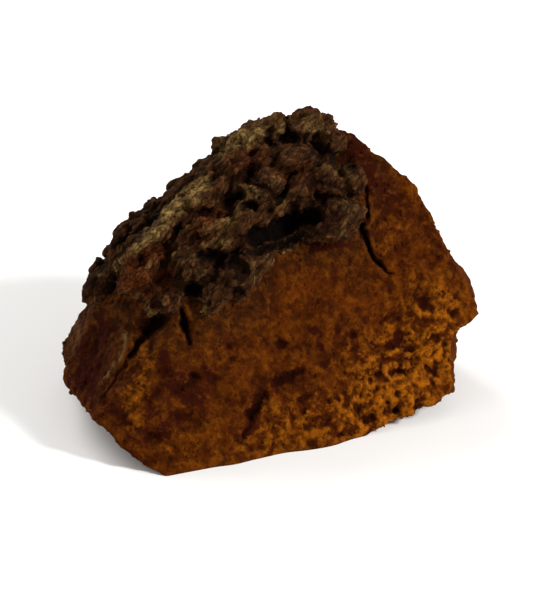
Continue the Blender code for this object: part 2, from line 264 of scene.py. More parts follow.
# the surface's point and normal at a place of the front view
def seenOn(tree, acrossMm, upMm):
    across, up, eye = sightFrame()
    start = sight["zero"] + across * acrossMm * mm + up * upMm * mm
    point, normal, _, _ = tree.ray_cast(start + eye * far, -eye)
    return point, normal


# a matrix at a point, with X along the surface and Z out of it
def laidFrame(point, normal, along):
    x = (along - normal * along.dot(normal)).normalized()
    return Matrix.Translation(point) @ Matrix((x, normal.cross(x), normal)).transposed().to_4x4()


def addBean(made, place, length, width, height, levels=2):
    size = Matrix.Diagonal((length / 2 * mm, width / 2 * mm, height * mm, 1))
    bmesh.ops.create_icosphere(made, subdivisions=levels, radius=1, matrix=place @ size)


# directions along a spiral that spreads them evenly over a sphere
def evenDirections(count):
    golden = math.pi * (3 - math.sqrt(5))
    for step in range(count):
        z = 1 - 2 * (step + 0.5) / count
        level = math.sqrt(1 - z * z)
        yield Vector((math.cos(golden * step) * level, math.sin(golden * step) * level, z))


# places scattered over the crust, a little off even, each with a random draw of its own
def crustPlaces(tree, count, stray, edge):
    middle = Vector((0.5, 0.5, 0.5))
    for spot in evenDirections(count):
        draw = noise.cell_vector(spot * ownCell)
        off = noise.cell_vector(spot * ownCell + middle * ownCell) - middle
        direction = (spot + off * stray).normalized()
        if crustReach(block["heart"] + direction)[0] >= edge:
            point, normal, _, _ = tree.ray_cast(block["heart"] + direction * far, -direction)
            yield direction, point, normal, draw


def between(limits, share):
    return limits[0] + (limits[1] - limits[0]) * share


# the beans of the front view, and others scattered over the rest of the crust
def crustBeans(tree):
    made = bmesh.new()
    taken = []
    across, up, _ = sightFrame()
    for acrossMm, upMm, length, width, slant in crust["ridges"]:
        point, normal = seenOn(tree, acrossMm, upMm)
        if point is None:
            continue
        along = across * math.cos(math.radians(slant)) + up * math.sin(math.radians(slant))
        addBean(made, laidFrame(point, normal, along), length, width, width * crust["ridgeBulge"], 3)
        taken.append(point)
    scattered = crustPlaces(tree, crust["beansRound"], crust["beanStray"], crust["edge"])
    for direction, point, normal, draw in scattered:
        if any((point - place).length < crust["beanClear"] * mm for place in taken):
            continue
        width = between(crust["beanWidth"], draw.x)
        length = width * between(crust["beanStretch"], draw.y)
        place = laidFrame(point, normal, crust["grain"] + noise.noise_vector(direction * crust["grainSway"]))
        addBean(made, place, length, width, width * between(crust["beanBulge"], draw.z))
    return made


def joined(*parts):
    made = bmesh.new()
    spare = bpy.data.meshes.new("spare")
    for part in parts:
        part.to_mesh(spare)
        made.from_mesh(spare)
    bpy.data.meshes.remove(spare)
    return made


def addObject(name, data):
    obj = bpy.data.objects.new(name, data)
    bpy.context.scene.collection.objects.link(obj)
    return obj


def meshObject(name, made):
    mesh = bpy.data.meshes.new(name)
    made.to_mesh(mesh)
    return addObject(name, mesh)


def withModifier(obj, kind, **settings):
    modifier = obj.modifiers.new(kind.title(), kind)
    for name, value in settings.items():
        setattr(modifier, name, value)


# the object's mesh with its modifiers applied, in place of the one it had
def applyModifiers(obj):
    graph = bpy.context.evaluated_depsgraph_get()
    made = bpy.data.meshes.new_from_object(obj.evaluated_get(graph))
    old = obj.data
    obj.modifiers.clear()
    obj.data = made
    bpy.data.meshes.remove(old)


def keepLargest(shells):
    unseen = set(shells.verts)
    largest = set()
    while unseen:
        search = [unseen.pop()]
        shell = set(search)
        while search:
            for edge in search.pop().link_edges:
                for vertex in edge.verts:
                    if vertex not in shell:
                        shell.add(vertex)
                        search.append(vertex)
        unseen -= shell
        largest = max(largest, shell, key=len)
    spare = [vertex for vertex in shells.verts if vertex not in largest]
    bmesh.ops.delete(shells, geom=spare, context="VERTS")


# vertices and faces sorted by place, because remesh and boolean leave them in another order each run
def putInOrder(mesh):
    points = readPoints(mesh)
    order = np.lexsort(np.hstack([points, np.round(points, grid)]).T)
    rank = np.argsort(order)
    shares = {}
    for attribute in mesh.attributes:
        if attribute.domain == "POINT" and attribute.data_type == "FLOAT":
            shares[attribute.name] = np.empty(len(points), dtype=np.float32)
            attribute.data.foreach_get("value", shares[attribute.name])
    faces = []
    for face in mesh.polygons:
        corners = rank[list(face.vertices)].tolist()
        first = corners.index(min(corners))
        faces.append(corners[first:] + corners[:first])
    mesh.clear_geometry()
    mesh.from_pydata(points[order].tolist(), [], sorted(faces))
    for name, values in shares.items():
        writeShare(mesh, name, values[order])


# one closed skin round the joined shells
def skinned(name, shells, voxel):
    obj = meshObject(name, shells)
    size = voxel * mm * 1
    withModifier(obj, "REMESH", mode="VOXEL", voxel_size=size)
    applyModifiers(obj)
    skin = bmesh.new()
    skin.from_mesh(obj.data)
    keepLargest(skin)
    skin.to_mesh(obj.data)
    skin.free()
    writePoints(obj.data, np.round(readPoints(obj.data), grid))
    putInOrder(obj.data)
    return obj


def readPoints(mesh, name="co"):
    values = np.empty(len(mesh.vertices) * 3, dtype=np.float32)
    mesh.vertices.foreach_get(name, values)
    return values.reshape(-1, 3).astype(float)


def writePoints(mesh, points):
    mesh.vertices.foreach_set("co", points.astype(np.float32).ravel())
    mesh.update()


def writeShare(mesh, name, values):
    attribute = mesh.attributes.new(name, "FLOAT", "POINT")
    attribute.data.foreach_set("value", np.asarray(values, dtype=np.float32))


def smoothStep(low, high, values):
    share = np.clip((values - low) / (high - low), 0, 1)
    return share * share * (3 - 2 * share)


def warp(points, octaves):
    move = np.zeros_like(points)
    for size, reach in octaves:
        places = (points - block["heart"]) / (size * mm)
        move += np.array([noise.noise_vector(place) for place in places]) * reach * mm
    return move


# lines of the front view laid on the surface: both ends, the way to look at them, radius, strength
def laidLines(tree, lines):
    eye = np.array(sightFrame()[2])
    laid = []
    for acrossOne, upOne, acrossTwo, upTwo, radius, strength in lines:
        one, two = seenOn(tree, acrossOne, upOne)[0], seenOn(tree, acrossTwo, upTwo)[0]
        if one is not None and two is not None:
            laid.append((np.array(one), np.array(two), eye, radius * mm, strength))
    return laid


# profiles across a line, for gaps in radii
def softEdge(gap):
    return np.exp(-gap ** 2)


def roundTop(gap, fullness=0.7):
    return np.maximum(1 - gap ** 2, 0) ** fullness


# how near each point is to laid lines, from 0 to the line's strength
def lineShares(points, laid, profile):
    shares = np.zeros(len(points))
    for one, two, away, radius, strength in laid:
        reach = np.linalg.norm(two - one) + lineFade * radius
        near = np.flatnonzero(np.linalg.norm(points - one, axis=1) < reach + lineRoom)
        off = points[near] - one
        depth = off @ away
        off -= depth[:, None] * away
        run = (two - one) - away * ((two - one) @ away)
        along = np.clip(off @ run / max(run @ run, 1e-12), 0, 1)
        gap = np.linalg.norm(off - along[:, None] * run, axis=1) / radius
        share = strength * profile(gap) * np.exp(-(depth / lineDepth) ** 4)
        shares[near] = np.maximum(shares[near], share)
    return shares


# the folds of the front view, and others like them over the rest of the crust
def crustFolds(tree):
    curls = []
    steps = crust["curlSteps"]
    for acrossMm, upMm, radius, width, height in crust["curls"]:
        spots = [
            (acrossMm + radius * math.cos(turn), upMm + radius * crust["curlFlat"] * math.sin(turn))
            for turn in np.arange(steps) * math.tau / steps
        ]
        curls += [(*one, *other, width, height) for one, other in zip(spots, spots[1:])]
    folds = laidLines(tree, crust["folds"] + tuple(curls))
    seen = [(one + two) / 2 for one, two, *_ in folds]
    swaySize, sway = crust["foldSway"]
    scattered = crustPlaces(tree, crust["foldsRound"], crust["foldStray"], crust["foldEdge"])
    for _, point, normal, draw in scattered:
        if min(np.linalg.norm(place - point) for place in seen) < crust["foldClear"] * mm:
            continue
        along = crust["grain"] + noise.noise_vector(point / (swaySize * mm)) * sway
        way = laidFrame(point, normal, along).col[0].xyz
        length, width, height = [
            between(crust[name], share)
            for name, share in zip(("foldLength", "foldWidth", "foldHeight"), draw)
        ]
        half = way * length / 2 * mm
        folds.append((np.array(point - half), np.array(point + half), np.array(normal), width * mm, height))
    return folds


# bends the surface as the solid is bent, and sinks its hollows, crevices and cracks
def weather(mesh, tree):
    points = readPoints(mesh)
    eye = np.array(sightFrame()[2])
    share = np.clip(crustReach(points) / crust["edge"], 0, 1)[:, None]
    moved = points + warp(points, block["warp"]) + warp(points, crust["warp"]) * share
    for acrossMm, upMm, radius, depth in flesh["hollows"]:
        place = np.array(seenOn(tree, acrossMm, upMm)[0])
        gap = np.linalg.norm(points - place, axis=1) / (radius * mm)
        moved -= eye * depth * mm * softEdge(gap)[:, None]
    jagged = points + warp(points, crackJag)
    cut = lineShares(jagged, laidLines(tree, crust["crevices"] + flesh["cracks"]), softEdge)
    moved -= eye * cut[:, None] * mm
    writePoints(mesh, moved)


# the values of each vertex averaged with those round it, over about a radius in mm
def smoothed(mesh, values, radius, pull=0.6):
    count = len(mesh.vertices)
    points = readPoints(mesh)
    edges = np.empty(len(mesh.edges) * 2, dtype=np.int32)
    mesh.edges.foreach_get("vertices", edges)
    one, other = edges.reshape(-1, 2).T
    spacing = np.linalg.norm(points[one] - points[other], axis=1).mean() / mm
    links = np.bincount(one, minlength=count) + np.bincount(other, minlength=count)
    smooth = values.copy()
    passes = int(2 * (radius / spacing) ** 2)
    for _ in range(passes):
        total = np.empty_like(smooth)
        for axis in range(3):
            total[:, axis] = np.bincount(one, smooth[other, axis], count)
            total[:, axis] += np.bincount(other, smooth[one, axis], count)
        smooth = smooth * (1 - pull) + total / links[:, None] * pull
    return smooth


def outwardDirections(mesh, radius):
    outward = smoothed(mesh, readPoints(mesh, "normal"), radius)
    return outward / np.maximum(np.linalg.norm(outward, axis=1), 1e-6)[:, None]


# how far each vertex stands over, or lies under, the smoothed surface round it, in mm
def standHeights(mesh, radius):
    points = readPoints(mesh)
    rise = (points - smoothed(mesh, points, radius)) * outwardDirections(mesh, radius)
    return rise.sum(axis=1) / mm


def markAlong(mesh, points, tree, name, lines, least=0.0):
    marked = lineShares(points, laidLines(tree, lines), softEdge)
    writeShare(mesh, name, np.clip(marked, least, 1))


def cutAtFloor(obj):
    made = bmesh.new()
    bmesh.ops.create_cube(made, size=roughSize, matrix=Matrix.Translation((0, 0, -roughSize / 2)))
    cutter = meshObject("floorBlock", made)
    withModifier(obj, "BOOLEAN", operation="DIFFERENCE", object=cutter)
    applyModifiers(obj)
    bpy.data.objects.remove(cutter)


# a part of the skin, closed by a wall and a cone inside the chunk
def cutOut(obj, isKept):
    made = bmesh.new()
    made.from_mesh(obj.data)
    made.verts.ensure_lookup_table()
    away = [vertex for vertex in made.verts if not isKept[vertex.index]]
    bmesh.ops.delete(made, geom=away, context="VERTS")
    keepLargest(made)
    rim = [edge for edge in made.edges if edge.is_boundary]
    wall = bmesh.ops.extrude_edge_only(made, edges=rim)["geom"]
    for vertex in wall:
        if isinstance(vertex, bmesh.types.BMVert):
            vertex.co = vertex.co.lerp(block["heart"], wallShare)
    centre = made.verts.new(block["heart"])
    for edge in [part for part in wall if isinstance(part, bmesh.types.BMEdge)]:
        made.faces.new((*edge.verts, centre))
    bmesh.ops.recalc_face_normals(made, faces=made.faces[:])
    made.to_mesh(obj.data)
    made.free()
    putInOrder(obj.data)


def toLinear(hexColour):
    channels = [int(hexColour[at:at + 2], 16) / 255 for at in (1, 3, 5)]
    return (*[c / 12.92 if c <= 0.04045 else ((c + 0.055) / 1.055) ** 2.4 for c in channels], 1)


# adds a node with its settings; an input that is given a node or a socket is linked to it
def addNode(tree, kind, inputs=None, **settings):
    node = tree.nodes.new(kind)
    for name, value in settings.items():
        setattr(node, name, value)
    for key, value in (inputs or {}).items():
        if isinstance(value, bpy.types.Node):
            value = next(socket for socket in value.outputs if socket.enabled)
        if isinstance(value, bpy.types.NodeSocket):
            tree.links.new(value, node.inputs[key])
        else:
            node.inputs[key].default_value = value
    return node


# a tree with named inputs, and each point's place in mm
def startTree(name, values):
    tree = bpy.data.node_groups.new(name, "GeometryNodeTree")
    tree.interface.new_socket("Geometry", in_out="INPUT", socket_type="NodeSocketGeometry")
    for value in values:
        tree.interface.new_socket(value, in_out="INPUT", socket_type="NodeSocketFloat")
    tree.interface.new_socket("Geometry", in_out="OUTPUT", socket_type="NodeSocketGeometry")
    given = addNode(tree, "NodeGroupInput").outputs
    position = addNode(tree, "GeometryNodeInputPosition")
    place = addNode(tree, "ShaderNodeVectorMath", {0: position, 1: (1 / mm,) * 3}, operation="MULTIPLY")
    return tree, given, place


def endTree(tree, shape, finish):
    whole = addNode(tree, "GeometryNodeRealizeInstances", {"Geometry": shape})
    finished = addNode(tree, "GeometryNodeSetMaterial", {"Geometry": whole, "Material": finish})
    addNode(tree, "NodeGroupOutput", {0: finished})
    return tree


# moves the surface out by a number of mm, and sets its material
def endRelief(tree, given, place, move, finish):
    add = partial(addNode, tree)
    rise = add("ShaderNodeSeparateXYZ", {0: place}).outputs["Z"]
    low, high = floorFade
    free = add("ShaderNodeMapRange", {"Value": rise, "From Min": low, "From Max": high})
    freeMove = add("ShaderNodeMath", {0: move, 1: free}, operation="MULTIPLY")
    step = add("ShaderNodeMath", {0: freeMove, 1: mm}, operation="MULTIPLY")
    outward = add("GeometryNodeInputNamedAttribute", {"Name": "outward"}, data_type="FLOAT_VECTOR")
    offset = add("ShaderNodeVectorMath", {0: outward, "Scale": step}, operation="SCALE")
    moved = add("GeometryNodeSetPosition", {"Geometry": given["Geometry"], "Offset": offset})
    return endTree(tree, moved, finish)


# a place bent by noise and drawn out along the crust's grain
def drawnOut(tree, place, bend, stretch):
    add = partial(addNode, tree)
    cloud = add("ShaderNodeTexNoise", {"Vector": place, "Scale": 0.6, "Detail": 2.0})
    shifted = add("ShaderNodeVectorMath", {0: cloud.outputs["Color"], "Scale": bend}, operation="SCALE")
    bent = add("ShaderNodeVectorMath", {0: place, 1: shifted}, operation="ADD")
    way = crust["grain"].normalized()
    along = add("ShaderNodeVectorMath", {0: bent, 1: way}, operation="DOT_PRODUCT")
    shrink = add("ShaderNodeMath", {0: along.outputs["Value"], 1: stretch}, operation="MULTIPLY")
    shift = add("ShaderNodeVectorMath", {0: way, "Scale": shrink}, operation="SCALE")
    return add("ShaderNodeVectorMath", {0: bent, 1: shift}, operation="SUBTRACT")


# a noise brought round zero, so that it moves the surface both ways by up to half a depth
def bothWays(tree, cloud, depth):
    level = addNode(tree, "ShaderNodeMath", {0: cloud, 1: 0.5}, operation="SUBTRACT")
    return addNode(tree, "ShaderNodeMath", {0: level, 1: depth}, operation="MULTIPLY")


# Crust relief: cells like charred wood, with finer cells in them.
def crustRelief(finish):
    tree, given, place = startTree("crustRelief", crust["relief"])
    add = partial(addNode, tree)
    drawn = drawnOut(tree, place, given["Bend"], given["Stretch"])
    move = 0.0
    for name, openTo in (("Lump", 0.2), ("Fissure", 0.2), ("Scale", 0.3)):
        often = add("ShaderNodeMath", {0: 1.0, 1: given[name + " Size"]}, operation="DIVIDE")
        edge = add("ShaderNodeTexVoronoi", {"Vector": drawn, "Scale": often}, feature="DISTANCE_TO_EDGE")
        crack = add(
            "ShaderNodeMapRange", {"Value": edge, "From Max": openTo, "To Min": -1.0, "To Max": 0.0},
            interpolation_type="SMOOTHERSTEP",
        )
        depth = add("ShaderNodeMath", {0: crack, 1: given[name + " Depth"]}, operation="MULTIPLY")
        move = add("ShaderNodeMath", {0: depth, 1: move}, operation="ADD")
    rough = add("ShaderNodeTexNoise", {"Vector": place, "Scale": 1.6, "Detail": 3.0})
    grain = bothWays(tree, rough, given["Grain"])
    move = add("ShaderNodeMath", {0: move, 1: grain}, operation="ADD")
    return endRelief(tree, given, place, move, finish)


# Flesh relief: waves of the break, crumbs and pits, stronger where the "coarse" attribute says.
def fleshRelief(finish):
    tree, given, place = startTree("fleshRelief", flesh["relief"])
    add = partial(addNode, tree)
    coarse, pit = [
        add("GeometryNodeInputNamedAttribute", {"Name": name}, data_type="FLOAT")
        for name in ("coarse", "pit")
    ]
    waveOften, crumbOften, pitOften = [
        add("ShaderNodeMath", {0: 1.0, 1: given[name]}, operation="DIVIDE")
        for name in ("Wave Size", "Crumb Size", "Pit Size")
    ]
    wave = add("ShaderNodeTexNoise", {"Vector": place, "Scale": waveOften, "Detail": 3.0, "Roughness": 0.6})
    waves = bothWays(tree, wave, given["Wave Depth"])
    fine = add("ShaderNodeTexNoise", {"Vector": place, "Scale": 1.5, "Detail": 2.0})
    grain = bothWays(tree, fine, given["Grain"])
    bend = add("ShaderNodeTexNoise", {"Vector": place, "Scale": 0.8, "Detail": 1.0})
    bent = add("ShaderNodeVectorMath", {0: place, 1: bend.outputs["Color"]}, operation="ADD")
    near = add("ShaderNodeTexVoronoi", {"Vector": bent, "Scale": crumbOften}, feature="F1")
    domed = add("ShaderNodeMath", {0: 0.5, 1: near.outputs["Distance"]}, operation="SUBTRACT")
    crumbs = add("ShaderNodeMath", {0: domed, 1: given["Crumb Depth"]}, operation="MULTIPLY")
    spots = add(
        "ShaderNodeTexNoise", {"Vector": place, "Scale": pitOften, "Detail": 2.0, "Roughness": 0.55}
    )
    opened = add(
        "ShaderNodeMapRange", {"Value": spots, "From Min": 0.54, "From Max": 0.68},
        interpolation_type="SMOOTHSTEP",
    )
    pits = add("ShaderNodeMath", {0: opened, 1: given["Pit Depth"]}, operation="MULTIPLY")
    raised = add("ShaderNodeMath", {0: crumbs, 1: pits}, operation="SUBTRACT")
    broken = add("ShaderNodeMath", {0: raised, 1: coarse}, operation="MULTIPLY")
    move = add("ShaderNodeMath", {0: waves, 1: broken}, operation="ADD")
    move = add("ShaderNodeMath", {0: move, 1: grain}, operation="ADD")
    move = add("ShaderNodeMath", {0: move, 1: pit}, operation="SUBTRACT")
    return endRelief(tree, given, place, move, finish)


# Loose grains of the broken flesh, half sunk in it, in clusters where it is coarse.
grains = {
    "seed": 4,
    "overFloor": 0.6,  # mm
    "density": 4e6,  # at most, to the square metre
    "shape": (0.6, 1.3),  # the least and most of each axis, as a share of the size
    "scatter": {"Spacing": 0.5, "Least Size": 0.25, "Most Size": 0.6, "Cluster Size": 2.2},
}


def grainScatter(finish):
    tree, given, place = startTree("grainScatter", grains["scatter"])
    add = partial(addNode, tree)
    coarse = add("GeometryNodeInputNamedAttribute", {"Name": "coarse"}, data_type="FLOAT")
    often = add("ShaderNodeMath", {0: 1.0, 1: given["Cluster Size"]}, operation="DIVIDE")
    spots = add("ShaderNodeTexNoise", {"Vector": place, "Scale": often, "Detail": 2.0})
    dense = add("ShaderNodeMapRange", {"Value": spots, "From Min": 0.4, "From Max": 0.6})
    share = add("ShaderNodeMath", {0: dense, 1: coarse}, operation="MULTIPLY")
    rise = add("ShaderNodeSeparateXYZ", {0: place}).outputs["Z"]
    free = add("FunctionNodeCompare", {0: rise, 1: grains["overFloor"]}, operation="GREATER_THAN")
    spacing = add("ShaderNodeMath", {0: given["Spacing"], 1: mm}, operation="MULTIPLY")
    points = add(
        "GeometryNodeDistributePointsOnFaces",
        {"Mesh": given["Geometry"], "Selection": free, "Distance Min": spacing,
         "Density Max": grains["density"], "Density Factor": share, "Seed": grains["seed"]},
        distribute_method="POISSON",
    )
    # a ball 1 mm across, that its scale brings to size
    ball = add("GeometryNodeMeshIcoSphere", {"Radius": 0.5 * mm, "Subdivisions": 1})
    turn = add(
        "FunctionNodeRandomValue", {0: (0, 0, 0), 1: (math.tau,) * 3, "Seed": grains["seed"]},
        data_type="FLOAT_VECTOR",
    )
    size = add(
        "FunctionNodeRandomValue",
        {2: given["Least Size"], 3: given["Most Size"], "Seed": grains["seed"] + 1}, data_type="FLOAT",
    )
    least, most = grains["shape"]
    shape = add(
        "FunctionNodeRandomValue", {0: (least,) * 3, 1: (most,) * 3, "Seed": grains["seed"] + 2},
        data_type="FLOAT_VECTOR",
    )
    scale = add("ShaderNodeVectorMath", {0: shape, "Scale": size}, operation="SCALE")
    grown = add(
        "GeometryNodeInstanceOnPoints",
        {"Points": points, "Instance": ball, "Rotation": turn, "Scale": scale},
    )
    return endTree(tree, grown, finish)


def useTree(obj, tree, values):
    modifier = obj.modifiers.new(tree.name, "NODES")
    modifier.node_group = tree
    for item in tree.interface.items_tree:
        if item.in_out == "INPUT" and item.name in values:
            modifier[item.identifier] = values[item.name]
    applyModifiers(obj)


# a material, and its fields by name: the marks on the mesh, noises, and ramps that read either
def startMaterial(name, look):
    material = bpy.data.materials.new(name)
    material.use_nodes = True
    tree = material.node_tree
    add = partial(addNode, tree)
    shader = tree.nodes["Principled BSDF"]
    shader.inputs["Roughness"].default_value = look["roughness"]
    shader.inputs["Specular IOR Level"].default_value = look["specular"]
    where = add("ShaderNodeTexCoord").outputs["Object"]
    place = add("ShaderNodeVectorMath", {0: where, 1: (1 / mm,) * 3}, operation="MULTIPLY")
    field = {"place": place}
    for mark in look["marks"]:
        field[mark] = add("ShaderNodeAttribute", attribute_name=mark).outputs["Fac"]
    for cloud, (scale, detail, rough) in look["noises"].items():
        field[cloud] = add(
            "ShaderNodeTexNoise",
            {"Vector": place, "Scale": scale, "Detail": detail, "Roughness": rough},
        )
    for ramp, (source, low, high, least, most) in look["ramps"].items():
        field[ramp] = add(
            "ShaderNodeMapRange",
            {"Value": field[source], "From Min": low, "From Max": high, "To Min": least, "To Max": most},
        )
    return material, tree, field


# lays colours one over another by their shares; the shade multiplies what is under it
def endMaterial(material, look, ground, layers, shade, bump):
    tree = material.node_tree
    shader = tree.nodes["Principled BSDF"]
    colour = toLinear(look[ground])
    for share, name in layers:
        over, blend = (shade, "MULTIPLY") if name == "shade" else (toLinear(look[name]), "MIX")
        colour = addNode(
            tree, "ShaderNodeMix", {0: share, 6: colour, 7: over}, data_type="RGBA", blend_type=blend
        ).outputs[2]
    tree.links.new(colour, shader.inputs["Base Color"])
    tree.links.new(bump.outputs["Normal"], shader.inputs["Normal"])
    return material


# Weathered sclerotium, burnt-looking and brittle: dull and brown over the body of each bean,
# with painted shade near black in its cracks and hollows, and painted highlights of greyish tan
# on what stands up.
crustLook = {
    # the near black is painted shade; the greyish tan and pale tan are painted highlights
    "deep": "#080301", "body": "#2e1506", "olive": "#38200b", "rust": "#682c07", "topHighlight": "#603c20",
    "pale": "#927643", "roughness": 0.92, "specular": 0.05, "bend": 1.1, "stretch": 0.7,
    "marks": ("height", "rust", "pale", "deep"),
    # scale, detail and roughness of each
    "noises": {
        "patches": (0.3, 3, 0.5), "speckle": (1.5, 4, 0.6), "areas": (0.17, 4, 0.6), "fine": (3.2, 5, 0.6),
    },
    # what each reads, where it starts and ends, and what it gives there
    "ramps": {
        "toOlive": ("patches", 0.42, 0.58, 0, 1), "bare": ("speckle", 0.35, 0.6, 0, 1),
        # what stands up, the speckle and the patches place the painted highlights
        "raised": ("height", -0.05, 0.5, 0, 1), "rubbed": ("speckle", 0.36, 0.62, 0, 1),
        "patch": ("areas", 0.53, 0.63, 0, 0.5), "crackWidth": ("speckle", 0.38, 0.62, 0.02, 0.16),
        # sunk gives painted shade where it lies low
        "sunk": ("height", -0.7, 0, 1, 0), "low": ("height", 0, 0.5, 1, 0.35),
    },
}


def weatheredCrust():
    material, tree, field = startMaterial("weatheredChagaCrust", crustLook)
    add = partial(addNode, tree)
    toRust = add("ShaderNodeMath", {0: field["bare"], 1: field["rust"]}, operation="MULTIPLY")
    # painted highlight: greyish tan on what stands up, broken up by speckle
    toTopHighlight = add("ShaderNodeMath", {0: field["raised"], 1: field["rubbed"]}, operation="MULTIPLY")
    # painted highlights on the ridges the front view shows, and fainter ones on raised patches all round
    patch = add("ShaderNodeMath", {0: field["patch"], 1: field["raised"]}, operation="MULTIPLY")
    highlightShare = add("ShaderNodeMath", {0: field["pale"], 1: patch}, operation="MAXIMUM")
    toHighlight = add("ShaderNodeMath", {0: highlightShare, 1: field["rubbed"]}, operation="MULTIPLY")
    # fine cracks and streaks along the grain
    drawn = drawnOut(tree, field["place"], crustLook["bend"], crustLook["stretch"])
    cell = add("ShaderNodeTexVoronoi", {"Vector": drawn, "Scale": 1.15}, feature="DISTANCE_TO_EDGE")
    shut = add("ShaderNodeMapRange", {"Value": cell, "From Max": field["crackWidth"], "To Min": 0.4})
    streak = add("ShaderNodeTexNoise", {"Vector": drawn, "Scale": 1.8, "Detail": 3.0})
    streaky = add(
        "ShaderNodeMapRange",
        {"Value": streak, "From Min": 0.3, "From Max": 0.7, "To Min": 0.55, "To Max": 1.35},
    )
    shade = add("ShaderNodeMath", {0: shut, 1: streaky}, operation="MULTIPLY")
    # painted shade: near black where it lies low, and along the marks, which keep off what stands up
    markedShade = add("ShaderNodeMath", {0: field["deep"], 1: field["low"]}, operation="MULTIPLY")
    toPaintedShade = add("ShaderNodeMath", {0: field["sunk"], 1: markedShade}, operation="MAXIMUM")
    rough = add("ShaderNodeMath", {0: field["fine"], 1: shut}, operation="ADD")
    bump = add("ShaderNodeBump", {"Height": rough, "Distance": 0.3 * mm, "Strength": 0.9})
    layers = (
        (field["toOlive"], "olive"), (toRust, "rust"), (toTopHighlight, "topHighlight"), (toHighlight, "pale"), (1.0, "shade"),
        (toPaintedShade, "deep"),
    )
    return endMaterial(material, crustLook, "body", layers, shade, bump)


# Dried corky mycelium where it broke: matt and crumbly, with painted shade, a near black red-brown,
# in its hollows and cracks, ochre grains on what stands up, denser away from the crust, and darker
# brown next to the crust.
fleshLook = {
    # the near black is painted shade in hollows and cracks; the pale tan is a painted highlight
    "body": "#512303", "dark": "#351202", "ochre": "#9d570b", "hollowShade": "#1e0801", "smoky": "#2c1405",
    "rust": "#300d04", "pale": "#7c5c34", "roughness": 0.92, "specular": 0.03,
    "ochreMore": 0.12, "ochreLess": 0.08,
    "marks": ("height", "coarse", "rust", "smoky", "ochre", "pale", "deep"),
    "noises": {
        "clouds": (0.4, 5, 0.62), "specks": (0.7, 4, 0.65), "fleck": (0.9, 6, 0.68), "fine": (3.0, 5, 0.7),
    },
    "ramps": {
        "toBody": ("clouds", 0.36, 0.6, 0, 1), "speckMove": ("specks", 0.3, 0.7, 0.5, -0.5),
        "raised": ("height", -0.15, 0.1, 0, 1), "bare": ("fleck", 0.4, 0.52, 0, 1),
        # sunk gives painted shade where it lies low
        "sunk": ("height", -0.4, 0, 0.9, 0),
    },
}


def brokenFlesh():
    material, tree, field = startMaterial("driedChagaFlesh", fleshLook)
    add = partial(addNode, tree)
    # the rust marks, red-brown and in places painted shade, broken up by the specks
    rustLevel = add("ShaderNodeMath", {0: field["rust"], 1: field["speckMove"]}, operation="ADD")
    toRust = add(
        "ShaderNodeMapRange", {"Value": rustLevel, "From Min": 0.18, "From Max": 0.65, "To Max": 0.95}
    )
    # ochre grains, fewer where it is rusty
    more = add("ShaderNodeMath", {0: field["ochre"], 1: fleshLook["ochreMore"]}, operation="MULTIPLY")
    fuller = add("ShaderNodeMath", {0: field["fleck"], 1: more}, operation="ADD")
    less = add("ShaderNodeMath", {0: toRust, 1: fleshLook["ochreLess"]}, operation="MULTIPLY")
    sown = add("ShaderNodeMath", {0: fuller, 1: less}, operation="SUBTRACT")
    grainy = add("ShaderNodeMapRange", {"Value": sown, "From Min": 0.45, "From Max": 0.62})
    bright = add("ShaderNodeMath", {0: grainy, 1: field["raised"]}, operation="MULTIPLY")
    toOchre = add("ShaderNodeMath", {0: bright, 1: field["coarse"]}, operation="MULTIPLY")
    # crumbs, each a little lighter or darker
    crumb = add("ShaderNodeTexVoronoi", {"Vector": field["place"], "Scale": 2.6}).outputs["Color"]
    shade = add("ShaderNodeMapRange", {"Value": crumb, "To Min": 0.72, "To Max": 1.28})
    # painted highlight along the pale marks, broken up by the fleck
    toHighlight = add("ShaderNodeMath", {0: field["pale"], 1: field["bare"]}, operation="MULTIPLY")
    # painted shade, near black, where it lies low and along the cracks
    toHollowShade = add("ShaderNodeMath", {0: field["sunk"], 1: field["deep"]}, operation="MAXIMUM")
    bump = add("ShaderNodeBump", {"Height": field["fine"], "Distance": 0.4 * mm, "Strength": 1.0})
    layers = (
        (field["toBody"], "body"), (field["smoky"], "smoky"), (toRust, "rust"), (toOchre, "ochre"),
        (1.0, "shade"), (toHighlight, "pale"), (toHollowShade, "hollowShade"),
    )
    return endMaterial(material, fleshLook, "dark", layers, shade, bump)


